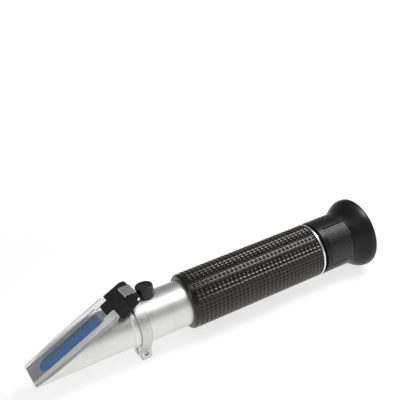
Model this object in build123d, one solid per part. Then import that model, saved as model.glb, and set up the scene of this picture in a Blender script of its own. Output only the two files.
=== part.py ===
from build123d import *
import math
import os

# Hand-held brix refractometer. Millimetres. While it is modelled, x runs along the optical
# axis from the tip of the prism end (0) to the eyecup, z is up through the cover's hinge,
# and the optical axis is y = z = 0. At the end everything is set down on its resting plane.

# Prism housing, the metal nose
nose_radius = 9.4
nose_start = 0.5                  # the cover plate stands this far over the tip
nose_wall = 1.95                  # of the spigot inside the barrel
nose_tip_round = 0.6
spigot_length = 7.0

# Sloping face that carries the prism and the cover
ramp_angle = 22.8
ramp_tip_height = -4.4            # height of the cover plate's top at the tip

# Barrel tube
barrel_radius = 10.1
barrel_wall = 1.1
bare_barrel = 26.7                # from the nose to the grip
barrel_edge = 0.45

# Rubber grip
grip_wall = 2.35
grip_length = 66.85
grip_collar = 2.6                 # smooth length at the front
grip_tail = 0.6                   # smooth length at the back
grip_groove = 0.75
rib_count = 44
rib_height = 0.45
rib_share = 0.58                  # of one pitch that stands proud
grip_round = 1.6

# Trim ring behind the grip
trim_width = 0.9
trim_lip = 0.05
trim_round = 0.2

# Eyepiece
focus_gap = 1.3                   # between the trim ring and the eyecup at rest
neck_step = 0.05                  # over the grip
neck_length = 14.25
neck_wall = 1.5
flare_length = 9.2
cup_flare = 4.0                   # rim over neck
cup_lip = 1.9
cup_lip_round = 0.9
web_thickness = 3.4
floor_setback = 0.2
well_gap = 0.55                   # round the lens tube's flange
cup_well = 3.2
cup_well_flare = 0.5

# Cover plate of clear acrylic
plate_half_width = 9.8
plate_tip_half_width = 8.3
plate_taper_length = 18.0         # from the tip to its full width
plate_knee_round = 20.0           # where the taper ends
plate_length = 41.6               # along the slope
plate_floor = 1.0
plate_rail_height = 0.5
plate_rail_width = 3.9
plate_rail_round = 0.25
plate_lift = 10.0                 # length of the bevel under the tip
plate_tip_thickness = 1.0
rail_shoe_length = 5.6            # the rails widen beside the tab
plate_corner = 1.6
plate_tip_corner = 0.6
tongue_length = 2.5
tongue_half_width = 4.0
plate_gap = 0.1                   # between plate and housing when closed
plate_end_gap = 0.4               # between plate and holder

# Prism and its seal, measured along the slope from the tip
window_start = 4.6
window_length = 32.1
window_half_width = 4.5
prism_end_cut = 1.8               # the glass stops this far before the window's end
prism_depth = 9.0
prism_foot = -6.4                 # lowest level of the glass
seal_width = 0.7
seal_depth = 0.6
glue_gap = 0.05
seal_gap = 0.02

# Cover holder, the T-shaped block, along the slope
holder_half_width = 8.6
holder_rise = 0.3                 # above the plate's rails
holder_depth = 4.1                # below the plate's rails, at the front
holder_gap = 0.35                 # to the barrel under it
holder_corner = 1.3
holder_step = 0.3                 # bevel under the front face
tab_length = 3.9
tab_half_width = 4.4
tab_round = 1.5

# Hinge
pin_behind = 9.48                 # of the holder's front
pin_below = 1.61                  # the level of the plate's top
pin_radius = 0.6
nose_ahead = 5.0                  # the nose ends this far ahead of the pin
pin_clearance = 0.04
pin_proud = 0.1
pin_round = 0.15
knuckle_radius = 1.3
lug_radius = 1.0                  # of the fixed lug between the two knuckles
lug_half_width = 2.6
lug_side_gap = 0.15
lug_neck_inset = 0.1
foot_half_width = 3.6
foot_cover = 0.42                 # over the clamp band
foot_ahead = 0.6                  # of the barrel's front
foot_gap = 0.3
neck_ahead = 1.7                  # of the lug's neck, ahead of the pin
neck_behind = 0.4
base_screw_radius = 0.7
base_screw_head = 1.15
base_screw_spacing = 4.0
base_screw_length = 3.4
base_screw_setback = 1.6
base_screw_sink = 0.7
base_screw_gap = 0.1              # left at both ends of a screw

# Leaf spring over the hinge
leaf_thickness = 0.3
leaf_half_width = 4.2
leaf_ahead = 3.9                  # of the pin
leaf_length = 5.0
leaf_tang = 2.2
leaf_gap = 0.1
leaf_lift = 0.05                  # over the round lug
leaf_notch = 1.6
leaf_web = 0.9
leaf_seat_gap = 0.02              # to the holder under it

# Clamp band round the barrel
band_setback = 2.3                # from the barrel's front
band_width = 4.75
band_thickness = 0.8
band_gap = 0.03
lug_gap = 1.4                     # slit between the two lugs
lug_outer = 4.15                  # half the width over both lugs
lug_root = 1.67                   # from the band to the lugs
lug_rear_round = 1.2
lug_front_round = 0.4
clamp_screw_radius = 0.8
clamp_screw_height = 2.5          # over the lugs' bottom
clamp_head_radius = 1.4
clamp_head_height = 1.1
clamp_tip_round = 0.5
clamp_tip_inset = 0.15
screw_slot = 0.4
screw_slot_depth = 0.3
screw_gap = 0.05

# Calibration screw under its rubber cap
cap_space = 0.1                   # between band and cap
cap_radius = 3.85
cap_height = 4.75                 # over the barrel
cap_rim = 0.9
cap_roof = 1.85
cap_dish = 0.3
cap_round = 0.5
cap_gap = 0.3                     # between cap and barrel
cap_fit = 0.06
bush_radius = 2.2
bush_height = 2.6                 # over the barrel
cal_screw_radius = 1.1
cal_fit = 0.05
cal_screw_slot = 0.8
cal_screw_sink = 0.4              # under the bush's top
cal_screw_round = 0.6
bush_reach = 1.5
bush_flange = 0.5
bush_flange_height = 0.9
bush_bevel = 0.2

# Temperature compensator: a two-metal strip that carries the objective
strip_depth = 2.7                 # under the barrel's bore
strip_thickness = 0.5
strip_half_width = 2.4
strip_lead = 0.55                 # from the clamp band to the strip's front
anchor_behind = 14.0              # of the calibration screw
anchor_length = 4.4
anchor_floor = 0.9
anchor_land = 1.4
strip_tail = 1.8                  # behind its screw
strip_corner = 0.8
strip_travel = 0.25               # left under the calibration screw for the tilt
strip_screw_radius = 0.8
strip_screw_head = 1.4
strip_screw_head_height = 0.9
strip_screw_slot = 0.4            # depth of its slot
strip_screw_fit = 0.01
cell_behind = 1.2                 # of the calibration screw
cell_length = 6.4
cell_drop = 0.7
cell_wall = 0.7
cell_pad_step = 0.4               # narrower than the strip on each side
cell_pad_root = 0.3               # into the cell's wall
lens_rim = 1.6
lens_crown = 1.0
lens_fit = 0.04
lens_land = 0.75                  # flat ring round each lens face
cell_lip = 0.6
cell_lip_length = 1.2
side_gap = 0.12
anchor_gap = 0.02

# Light baffle and reticle
baffle_space = 1.6                # behind the anchor ring
baffle_wall = 1.2
baffle_stop_bore = 4.2
baffle_stop_width = 1.2
inner_fit = 0.05
reticle_thickness = 1.5
reticle_ring_length = 3.0
reticle_ring_wall = 1.6
reticle_gap = 0.1                 # round the disc and ahead of it
ring_slot_width = 1.6
ring_slot_reach = 2.2
ring_slot_depth = 0.5

# Focusing sleeve and its moving lens tube
seat_length = 10.9                # in the barrel, ahead of the trim ring
seat_space = 0.5                  # between the reticle's ring and the seat
seat_inside = 9.0                 # length of the seat behind the trim ring
seat_wall = 1.55
tube_wall = 1.1
tube_fit = 0.06
tube_setback = 1.2                # from the seat's front
tube_flange = 1.3
tube_flange_step = 0.9
tube_lip = 0.6
field_lens_setback = 2.2          # from the tube's front
field_lens_rim = 1.6
field_lens_crown = 0.8
eye_lens_rim = 2.4
eye_lens_crown = 1.1
eye_lens_set_back = 1.6           # from the end of the eyecup's neck
retainer_length = 1.8
retainer_wall = 0.7
retainer_slot_width = 1.4
retainer_slot_depth = 0.5
spacer_wall = 0.6

# Sealing ring between nose and barrel
o_ring_section = 0.9
o_ring_setback = 3.2              # from the barrel's front
o_ring_groove = 1.2

# Working lengths of the modelling, none of them a size of the part
far = 100                         # cutting bodies that run clear of everything
overcut = 1                       # cutting bodies that pass one face
overlap = 0.5                     # joined bodies run this far into each other
near = 0.1                        # for picking edges by their place

# The slope, and the hinge at its upper end
slope = math.radians(ramp_angle)
ramp = Plane(origin=(0, 0, ramp_tip_height),
             x_dir=(math.cos(slope), 0, math.sin(slope)),
             z_dir=(-math.sin(slope), 0, math.cos(slope)))
holder_front = plate_length + plate_end_gap
pin_x = holder_front * math.cos(slope) + pin_behind
pin_z = ramp_tip_height + pin_x * math.tan(slope) - pin_below
knuckle_top = pin_z + knuckle_radius
neck_front = pin_x - neck_ahead
leaf_front = pin_x - leaf_ahead
leaf_level = pin_z + lug_radius + leaf_lift
plate_under = -(plate_rail_height + plate_floor)
housing_face = plate_under - plate_gap
rail_inside = plate_half_width - plate_rail_width
floor_top = -plate_rail_height

# Radii that follow from the barrel
barrel_bore = barrel_radius - barrel_wall
spigot_radius = barrel_bore - inner_fit
nose_bore = spigot_radius - nose_wall
grip_radius = barrel_radius + grip_wall
neck_radius = grip_radius + neck_step
cup_radius = neck_radius + cup_flare
tube_radius = barrel_bore - seat_wall - tube_fit
tube_flange_radius = tube_radius + tube_flange_step
well_radius = tube_flange_radius + well_gap
lens_seat_radius = tube_radius - tube_wall
band_bore = barrel_radius + band_gap
band_outer = band_bore + band_thickness
strip_z = barrel_bore - strip_depth
cell_radius = strip_z - cell_drop
lens_radius = cell_radius - cell_wall
anchor_bore = strip_z - anchor_floor

# Levels that follow from the barrel
foot_top = band_outer + foot_cover
cap_top = barrel_radius + cap_height
bush_top = barrel_radius + bush_height
lug_top = band_outer + lug_root
lug_bottom = cup_radius           # so that lugs and eyecup stand on one surface
clamp_screw_drop = lug_bottom - clamp_screw_height

# Places along the axis, from the hinge back to the eyecup
nose_end = pin_x - nose_ahead
foot_start = nose_end - foot_ahead
base_screw_x = foot_start + base_screw_setback
band_start = nose_end + band_setback
band_end = band_start + band_width
lug_screw_x = (band_start + band_end) / 2
o_ring_x = nose_end + o_ring_setback
cal_x = band_end + cap_space + cap_radius
cell_x = cal_x + cell_behind
strip_front = band_end + strip_lead
anchor_x = cal_x + anchor_behind
strip_back = anchor_x + strip_tail
baffle_start = anchor_x + anchor_length / 2 + baffle_space
grip_start = nose_end + bare_barrel
grip_end = grip_start + grip_length
trim_end = grip_end + trim_width
seat_start = trim_end - seat_length
seat_end = trim_end + seat_inside
reticle_x = seat_start - seat_space - reticle_ring_length - reticle_thickness
tube_start = seat_start + tube_setback
cup_start = trim_end + focus_gap
neck_end = cup_start + neck_length
flare_end = neck_end + flare_length
total_length = flare_end + cup_lip
floor_x = neck_end + floor_setback
eye_lens_end = neck_end - eye_lens_set_back
eye_lens_x = eye_lens_end - tube_lip - eye_lens_rim
field_lens_x = tube_start + field_lens_setback
field_lens_end = field_lens_x + field_lens_rim


def ramp_height(x, w=0.0):
    """Level at x of the plane that lies w off the cover plate's top."""
    return ramp_tip_height + x * math.tan(slope) + w / math.cos(slope)


def on_ramp(u, w):
    """x and z of a point u up the slope and w off it."""
    place = (ramp * Pos(u, 0, w)).position
    return place.X, place.Z


def across(points, half_width):
    """Slab across the tool from a side view given as x and z."""
    face = make_face(Polyline(*[(x, 0, z) for x, z in points], close=True))
    return extrude(Pos(0, half_width, 0) * face, 2 * half_width, dir=(0, -1, 0))


def rod(x_start, x_end, radius):
    """Solid cylinder along the optical axis."""
    length = x_end - x_start
    return Pos((x_start + x_end) / 2, 0, 0) * Rot(0, 90, 0) * Cylinder(radius, length)


def tube(x_start, x_end, outer, inner):
    """Straight tube along the optical axis."""
    return rod(x_start, x_end, outer) - rod(x_start - overcut, x_end + overcut, inner)


def post(x, z_low, z_high, radius, y=0.0):
    """Upright cylinder."""
    return Pos(x, y, (z_low + z_high) / 2) * Cylinder(radius, z_high - z_low)


def cross_rod(x, z, y_low, y_high, radius):
    """Cylinder across the tool, along y."""
    return Pos(x, (y_low + y_high) / 2, z) * Rot(90, 0, 0) * Cylinder(radius, y_high - y_low)


def block(x_range, y_range, z_range):
    """Box between two corners."""
    size = [high - low for low, high in (x_range, y_range, z_range)]
    centre = [(high + low) / 2 for low, high in (x_range, y_range, z_range)]
    return Pos(*centre) * Box(*size)


def ramp_block(u_range, v_range, w_range):
    """Box laid on the slope: u up the slope, v across, w off the face."""
    size = [high - low for low, high in (u_range, v_range, w_range)]
    centre = [(high + low) / 2 for low, high in (u_range, v_range, w_range)]
    return ramp * Pos(*centre) * Box(*size)


def turned(*edges):
    """Body of revolution about the optical axis from a closed run of edges in x and z."""
    return revolve(make_face(Curve() + list(edges)), Axis.X, 360)


def corners(*points):
    """Straight edges through points given as x and radius."""
    return Polyline(*[(x, 0, r) for x, r in points])


def quarter_round(start, corner, end):
    """Quarter circle that rounds off a square corner; all three as x and z."""
    share = 1 - math.sqrt(0.5)
    middle = [c + share * (a + b - 2 * c) for a, b, c in zip(start, end, corner)]
    return ThreePointArc(*[(x, 0, z) for x, z in (start, middle, end)])


def bulge(x, radius, crown, way):
    """Arc of a lens face from its flat land to the axis; way is +1 or -1 along x."""
    edge = radius - lens_land
    curve_radius = (edge ** 2 + crown ** 2) / (2 * crown)
    centre = x + way * (crown - curve_radius)
    half = math.asin(edge / curve_radius) / 2
    middle = (centre + way * curve_radius * math.cos(half), 0, curve_radius * math.sin(half))
    return ThreePointArc((x, 0, edge), middle, (x + way * crown, 0, 0))


def lens(x_start, x_end, radius, crown):
    """Lens with a cylindrical rim, a flat land round each face and two bulging faces."""
    edge = radius - lens_land
    outline = corners((x_start, edge), (x_start, radius), (x_end, radius), (x_end, edge))
    axis = Line((x_end + crown, 0, 0), (x_start - crown, 0, 0))
    return turned(bulge(x_start, radius, crown, -1), outline, bulge(x_end, radius, crown, 1), axis)


def window_pad(half_width, start, length, w_low, w_high):
    """Long pad with round ends, standing on the slope between two levels."""
    middle = start + length / 2
    outline = ramp.offset(w_low) * Pos(middle, 0, 0) * SlotOverall(length, 2 * half_width)
    return extrude(outline, w_high - w_low)


def prism_shape(grow):
    """Wedge of glass under the window, grown on all sides by a gap."""
    pad = window_pad(window_half_width + grow, window_start - grow,
                     window_length + 2 * grow, housing_face - prism_depth, housing_face)
    end = window_start + window_length - prism_end_cut + grow
    above_foot = block((-far, far), (-far, far), (prism_foot - grow, far))
    before_end = ramp_block((-far, end), (-far, far), (-far, far))
    return pad & above_foot & before_end


def prism_housing():
    """Die-cast nose: a round bar cut by the slope, hollow for the light path."""
    shell = rod(nose_start, nose_end, nose_radius)
    shell = fillet(shell.edges().filter_by(GeomType.CIRCLE).sort_by(Axis.X)[0], nose_tip_round)
    shell += rod(nose_end, nose_end + spigot_length, spigot_radius)
    shell -= ramp_block((-far, far), (-far, far), (housing_face, far))
    bore_start = (window_start + window_length) * math.cos(slope) - prism_end_cut
    shell -= rod(bore_start, nose_end + spigot_length + overcut, nose_bore)
    shell -= prism_shape(glue_gap)
    shell -= window_pad(window_half_width + seal_width, window_start - seal_width,
                        window_length + 2 * seal_width, housing_face - seal_depth, overcut)
    shell -= tube(o_ring_x - o_ring_groove / 2, o_ring_x + o_ring_groove / 2, nose_radius,
                  spigot_radius - o_ring_section + inner_fit)
    for side in (-1, 1):
        shell -= post(base_screw_x, foot_top - base_screw_length, foot_top, base_screw_radius,
                      side * base_screw_spacing / 2)
    return shell


def prism_seal():
    """Ring of sealant round the window, with a pad that closes its upper end."""
    width = seal_width - seal_gap
    ring = window_pad(window_half_width + width, window_start - width, window_length + 2 * width,
                      housing_face - seal_depth, housing_face - seal_gap)
    return ring - prism_shape(seal_gap)


def barrel():
    """Long aluminium tube that the nose, the grip and the eyepiece seat share."""
    body = tube(nose_end, trim_end, barrel_radius, barrel_bore)
    front = body.edges().filter_by(GeomType.CIRCLE).filter_by(
        lambda e: abs(e.center().X - nose_end) < near and e.radius > barrel_bore + near)
    body = chamfer(front, barrel_edge)
    body -= post(cal_x, barrel_bore - overcut, barrel_radius + overcut, bush_radius)
    for side in (-1, 1):
        body -= post(base_screw_x, foot_top - base_screw_length, foot_top, base_screw_radius,
                      side * base_screw_spacing / 2)
    return body


def clamp_band():
    """Cast ring with two legs that leave it straight and run into lugs under the barrel."""
    reach = math.hypot(lug_outer, lug_top)
    angle = math.atan2(lug_outer, lug_top) + math.acos(band_outer / reach)
    leave = (band_outer * math.sin(angle), -band_outer * math.cos(angle))
    sketch = Circle(band_outer) - Circle(band_bore)
    sketch += Polygon((-leave[0], leave[1]), (-lug_outer, -lug_top), (-lug_outer, -lug_bottom),
                      (lug_outer, -lug_bottom), (lug_outer, -lug_top), leave, align=None)
    sketch -= Circle(band_bore)
    sketch -= Pos(0, -lug_bottom) * Rectangle(lug_gap, 2 * (lug_bottom - band_bore + overcut))
    face = Plane(origin=(band_start, 0, 0), x_dir=(0, 1, 0), z_dir=(1, 0, 0)) * sketch
    band = extrude(face, band_width, dir=(1, 0, 0))
    for end, radius in ((band_start, lug_front_round), (band_end, lug_rear_round)):
        low = band.edges().filter_by(Axis.Y).filter_by(
            lambda e: e.center().Z < near - lug_bottom and abs(e.center().X - end) < near)
        band = fillet(low, radius)
    return band - cross_rod(lug_screw_x, -clamp_screw_drop, -far, far,
                            clamp_screw_radius + screw_gap)


def clamp_screw():
    """Slotted screw through both lugs; its rounded tip shows in the near lug."""
    shank = cross_rod(lug_screw_x, -clamp_screw_drop, -lug_outer + clamp_tip_inset,
                      lug_outer + clamp_head_height / 2, clamp_screw_radius)
    tip = shank.edges().filter_by(GeomType.CIRCLE).sort_by(Axis.Y)[0]
    shank = fillet(tip, clamp_tip_round)
    slot_y = lug_outer + clamp_head_height
    head = cross_rod(lug_screw_x, -clamp_screw_drop, lug_outer, slot_y, clamp_head_radius)
    head = fillet(head.edges().filter_by(GeomType.CIRCLE).sort_by(Axis.Y)[-1], clamp_tip_round)
    slot = Pos(lug_screw_x, slot_y, -clamp_screw_drop) * Box(
        screw_slot, clamp_head_height, 4 * clamp_head_radius)
    return shank + head - slot


def hinge_base():
    """Fixed foot on the barrel's top with the middle lug of the hinge."""
    base = block((foot_start, band_end), (-foot_half_width, foot_half_width),
                 (nose_radius / 2, foot_top))
    neck_foot = foot_top - overlap
    base += across([(neck_front, neck_foot), (pin_x + neck_behind, neck_foot),
                    (pin_x + neck_behind, pin_z), (pin_x - lug_radius + lug_neck_inset, pin_z),
                    (neck_front, pin_z - neck_ahead)], lug_half_width)
    base += cross_rod(pin_x, pin_z, -lug_half_width, lug_half_width, lug_radius)
    base -= rod(foot_start - overcut, nose_end, nose_radius)
    base -= rod(nose_end, band_start, barrel_radius)
    base -= rod(band_start, band_end + overcut, band_outer)
    base -= cross_rod(pin_x, pin_z, -far, far, pin_radius + pin_clearance)
    for side in (-1, 1):
        place = side * base_screw_spacing / 2
        base -= post(base_screw_x, 0, far, base_screw_radius + screw_gap, place)
        base -= post(base_screw_x, foot_top - base_screw_sink, far,
                     base_screw_head + screw_gap, place)
    return base


def hinge_base_screws():
    """Two small screws that hold the foot down to barrel and nose."""
    pair = []
    seat = foot_top - base_screw_sink
    top = foot_top - base_screw_gap
    for side in (-1, 1):
        place = side * base_screw_spacing / 2
        screw = post(base_screw_x, foot_top - base_screw_length + base_screw_gap, seat,
                     base_screw_radius - screw_gap / 2, place)
        screw += post(base_screw_x, seat, top, base_screw_head, place)
        slot = Pos(base_screw_x, place, top) * Box(4 * base_screw_head, screw_slot,
                                                   2 * screw_slot_depth)
        pair.append(screw - slot)
    return pair


def holder_side():
    """Side view of the holder: the slope, a flat over the pin and a round knuckle."""
    slope_side = [on_ramp(holder_front + holder_step, -holder_depth),
                  on_ramp(holder_front, holder_step - holder_depth),
                  on_ramp(holder_front, holder_rise)]
    flat_start = (knuckle_top - ramp_height(0, holder_rise)) / math.tan(slope)
    low_rear = (pin_x + knuckle_radius * math.sin(slope),
                pin_z - knuckle_radius * math.cos(slope))
    points = [low_rear, *slope_side, (flat_start, knuckle_top), (pin_x, knuckle_top)]
    outline = Polyline(*[(x, 0, z) for x, z in points])
    knuckle = ThreePointArc((pin_x, 0, knuckle_top), (pin_x + knuckle_radius, 0, pin_z),
                            (low_rear[0], 0, low_rear[1]))
    return make_face(Curve() + [outline, knuckle])


def cover_holder():
    """T-shaped block: a tab between the plate's rails, two wings and two hinge knuckles."""
    side = Pos(0, holder_half_width, 0) * holder_side()
    body = extrude(side, 2 * holder_half_width, dir=(0, -1, 0))
    span = pin_x + knuckle_radius - on_ramp(holder_front, 0)[0]
    plan = RectangleRounded(span + 2 * holder_corner, 2 * holder_half_width, holder_corner)
    plan = Pos(pin_x + knuckle_radius - span / 2 - holder_corner, 0, 0) * plan
    body &= extrude(plan, 2 * cap_top)
    tab_plan = RectangleRounded(2 * tab_length, 2 * tab_half_width, tab_round)
    tab_plan = ramp.offset(floor_top) * Pos(holder_front, 0) * tab_plan
    tab = extrude(tab_plan, holder_rise - floor_top)
    body += tab - ramp_block((holder_front + overcut, far), (-far, far), (-far, far))
    body -= rod(0, nose_end, nose_radius + holder_gap)
    body -= rod(nose_end - holder_gap, band_start, barrel_radius + holder_gap)
    body -= rod(band_start - holder_gap, band_end + overcut, band_outer + holder_gap)
    foot_room = foot_half_width + foot_gap
    body -= block((foot_start - foot_gap, far), (-foot_room, foot_room), (0, foot_top + foot_gap))
    lug_room = lug_half_width + lug_side_gap
    body -= block((neck_front - foot_gap, far), (-lug_room, lug_room), (0, far))
    body -= tongue(glue_gap)
    leaf_room = leaf_half_width + leaf_gap
    body -= block((leaf_front - leaf_gap, leaf_front + leaf_thickness + leaf_gap),
                  (-leaf_room, leaf_room), (leaf_level - leaf_tang - leaf_gap, far))
    body -= block((leaf_front, far), (-leaf_room, leaf_room), (leaf_level - leaf_seat_gap, far))
    body -= cross_rod(pin_x, pin_z, -far, far, pin_radius)
    return body


def tongue(grow):
    """Strip of the plate's floor that reaches into the holder, grown by a gap."""
    return ramp_block((plate_length - overlap, holder_front + tongue_length + grow),
                      (-tongue_half_width - grow, tongue_half_width + grow),
                      (plate_under - grow, floor_top + grow))


def daylight_plate():
    """Clear cover: a thin floor between two raised rails, bevelled under its tip."""
    side = [(0, plate_tip_half_width), (plate_taper_length, plate_half_width),
            (plate_length, plate_half_width)]
    plan = Polygon(*[(u, -v) for u, v in side], *reversed(side), align=None)
    plan = fillet(plan.vertices().sort_by(Axis.X)[2:4], plate_knee_round)
    plan = fillet(plan.vertices().sort_by(Axis.X)[:2], plate_tip_corner)
    plan = fillet(plan.vertices().sort_by(Axis.X)[-2:], plate_corner)
    slab = extrude(ramp.offset(plate_under) * plan, -plate_under)
    slab -= across([on_ramp(-overcut, plate_under - overcut),
                    on_ramp(-overcut, -plate_tip_thickness),
                    on_ramp(0, -plate_tip_thickness), on_ramp(plate_lift, plate_under),
                    on_ramp(plate_lift, plate_under - overcut)], 2 * plate_half_width)
    shoe_start = plate_length - rail_shoe_length
    slab -= ramp_block((-overcut, shoe_start), (-rail_inside, rail_inside), (floor_top, overcut))
    shoe_inside = tab_half_width + plate_gap
    slab -= ramp_block((shoe_start - overcut, plate_length + overcut),
                       (-shoe_inside, shoe_inside), (floor_top, overcut))
    rails = slab.edges().filter_by(
        lambda e: e.length > plate_length / 3
        and abs(ramp.to_local_coords(e.center()).Z) < near
        and abs(e.center().Y) > rail_inside - near)
    return fillet(rails, plate_rail_round) + tongue(0)


def hinge_pin():
    """Steel pin, pressed into the knuckles of the holder and free in the fixed lug."""
    end = holder_half_width + pin_proud
    pin = cross_rod(pin_x, pin_z, -end, end, pin_radius)
    return fillet(pin.edges().filter_by(GeomType.CIRCLE), pin_round)


def leaf_spring():
    """Bent strip that presses on the round lug; its tang sits in a slot of the holder."""
    bend = 2 * leaf_thickness
    low = leaf_level - leaf_tang
    top = leaf_level + leaf_thickness
    back = leaf_front + leaf_length
    inside = leaf_front + leaf_thickness
    profile = make_face(Curve() + [
        Line((leaf_front, 0, low), (leaf_front, 0, top - bend)),
        quarter_round((leaf_front, top - bend), (leaf_front, top), (leaf_front + bend, top)),
        corners((leaf_front + bend, top), (back, top), (back, leaf_level),
                (leaf_front + bend, leaf_level)),
        quarter_round((leaf_front + bend, leaf_level), (inside, leaf_level),
                      (inside, top - bend)),
        corners((inside, top - bend), (inside, low), (leaf_front, low))])
    leaf = extrude(Pos(0, leaf_half_width, 0) * profile, 2 * leaf_half_width, dir=(0, -1, 0))
    notch = block((leaf_front - overcut, inside), (-leaf_notch, leaf_notch),
                  (0, leaf_level - leaf_web))
    return leaf - notch


def calibration_bush():
    """Threaded bush in the barrel's top that guides the calibration screw."""
    flange = post(cal_x, 0, barrel_radius + bush_flange_height, bush_radius + bush_flange)
    bush = post(cal_x, barrel_bore - bush_reach, bush_top, bush_radius)
    bush += flange - rod(0, total_length, barrel_radius)
    bush -= post(cal_x, 0, far, cal_screw_radius + cal_fit)
    return chamfer(bush.edges().filter_by(GeomType.CIRCLE).sort_by(Axis.Z)[-1], bush_bevel)


def calibration_screw():
    """Slotted grub screw that bears on the compensator's strip."""
    low = strip_z + strip_thickness + strip_travel
    top = bush_top - cal_screw_sink
    screw = post(cal_x, low, top, cal_screw_radius)
    screw = fillet(screw.edges().filter_by(GeomType.CIRCLE).sort_by(Axis.Z)[0], cal_screw_round)
    slot = block((cal_x - far, cal_x + far), (-screw_slot / 2, screw_slot / 2),
                 (top - cal_screw_slot, far))
    return screw - slot


def calibration_cap():
    """Rubber cap that pulls off the bush."""
    cap = post(cal_x, nose_radius, cap_top, cap_radius)
    rim = cap.edges().filter_by(GeomType.CIRCLE).sort_by(Axis.Z)[-1]
    cap = fillet(rim, cap_round)
    cap -= post(cal_x, cap_top - cap_dish, cap_top + overcut, cap_radius - cap_rim)
    cap -= post(cal_x, 0, cap_top - cap_roof, bush_radius + cap_fit)
    cap -= post(cal_x, 0, barrel_radius + bush_flange_height + cap_gap,
                bush_radius + bush_flange + cap_gap)
    cap -= rod(0, total_length, barrel_radius + cap_gap)
    return cap


def bimetal_strip():
    """Two-metal strip from the anchor ring forward over the objective."""
    strip = block((strip_front, strip_back), (-strip_half_width, strip_half_width),
                  (strip_z, strip_z + strip_thickness))
    strip = fillet(strip.edges().filter_by(Axis.Z), strip_corner)
    return strip - post(anchor_x, 0, far, strip_screw_radius + side_gap)


def objective_cell():
    """Ring under the strip that holds the objective lens."""
    start = cell_x - cell_length / 2
    cell = tube(start, start + cell_length, cell_radius, lens_radius + lens_fit)
    seat = tube(start, start + cell_lip_length, cell_radius, lens_radius - cell_lip)
    pad_half_width = strip_half_width - cell_pad_step
    pad = block((start, start + cell_length), (-pad_half_width, pad_half_width),
                (lens_radius + cell_pad_root, strip_z))
    return cell + seat + pad


def objective_lens():
    """Objective, seated on the cell's front shoulder."""
    start = cell_x - cell_length / 2 + cell_lip_length
    return lens(start, start + lens_rim, lens_radius, lens_crown)


def anchor_ring():
    """Ring fixed in the barrel; the strip is screwed to a flat in its top."""
    start = anchor_x - anchor_length / 2
    ring = tube(start, start + anchor_length, barrel_bore - anchor_gap, anchor_bore)
    room = strip_half_width + side_gap
    ring -= block((start - overcut, start + anchor_length + overcut), (-room, room),
                  (strip_z - side_gap, far))
    ring += block((start, start + anchor_length), (-room, room),
                  (anchor_bore - anchor_land, strip_z - side_gap))
    ring -= post(anchor_x, 0, far, strip_screw_radius)
    return ring


def strip_screw():
    """Cheese-head screw that clamps the strip to its ring."""
    top = strip_z + strip_thickness + side_gap
    head_top = top + strip_screw_head_height
    screw = post(anchor_x, anchor_bore - anchor_land, top, strip_screw_radius - strip_screw_fit)
    screw += post(anchor_x, top, head_top, strip_screw_head)
    return screw - block((anchor_x - far, anchor_x + far), (-screw_slot / 2, screw_slot / 2),
                         (head_top - strip_screw_slot, far))


def baffle_tube():
    """Black inner tube with a narrow stop that kills stray light."""
    end = reticle_x - reticle_gap
    outer = barrel_bore - inner_fit
    body = tube(baffle_start, end, outer, outer - baffle_wall)
    middle = (baffle_start + end) / 2
    stop = tube(middle, middle + baffle_stop_width, outer, baffle_stop_bore)
    return body + stop


def reticle_disc():
    """Glass disc that carries the scale."""
    return rod(reticle_x, reticle_x + reticle_thickness, barrel_bore - reticle_gap)


def reticle_ring():
    """Ring that holds the scale disc against the baffle tube."""
    start = reticle_x + reticle_thickness
    outer = barrel_bore - inner_fit
    ring = tube(start, start + reticle_ring_length, outer, outer - reticle_ring_wall)
    for side in (-1, 1):
        ring -= Pos(start + reticle_ring_length, side * outer, 0) * Box(
            2 * ring_slot_depth, 2 * ring_slot_reach, ring_slot_width)
    return ring


def rubber_grip():
    """Rubber sleeve: smooth collar, then rows of ribs along its length."""
    root = grip_radius - rib_height
    sleeve = turned(
        Line((grip_start, 0, barrel_radius), (grip_start, 0, grip_radius - grip_round)),
        quarter_round((grip_start, grip_radius - grip_round), (grip_start, grip_radius),
                      (grip_start + grip_round, grip_radius)),
        corners((grip_start + grip_round, grip_radius), (grip_start + grip_collar, grip_radius),
                (grip_start + grip_collar, root), (grip_end - grip_tail, root),
                (grip_end - grip_tail, grip_radius), (grip_end, grip_radius),
                (grip_end, barrel_radius), (grip_start, barrel_radius)))
    rib_start = grip_start + grip_collar + grip_groove
    rib_length = grip_end - grip_tail - rib_start
    half_rib = grip_radius * math.tan(math.pi / rib_count * rib_share)
    toothed = Sketch()
    for i in range(rib_count):
        turn = i * 360 / rib_count
        tooth = Polygon((root - near, -half_rib), (grip_radius, -half_rib),
                        (grip_radius, half_rib), (root - near, half_rib), align=None)
        toothed += Rot(0, 0, turn) * tooth
    face = Plane(origin=(rib_start, 0, 0), x_dir=(0, 1, 0), z_dir=(1, 0, 0)) * toothed
    return sleeve + extrude(face, rib_length)


def trim_ring():
    """Bright ring between grip and eyepiece."""
    outer = grip_radius + trim_lip
    ring = tube(grip_end, trim_end, outer, barrel_radius)
    edges = ring.edges().filter_by(GeomType.CIRCLE).filter_by(lambda e: e.radius > outer - near)
    return fillet(edges, trim_round)


def eyepiece_seat():
    """Black sleeve in the barrel's end; the eyepiece screws along it to focus."""
    outer = neck_radius - neck_wall - inner_fit
    inner = tube_radius + tube_fit
    plug = barrel_bore - inner_fit
    return turned(corners(
        (seat_start, inner), (seat_start, plug), (trim_end, plug), (trim_end, outer),
        (seat_end, outer), (seat_end, inner), (seat_start, inner)))


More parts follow.
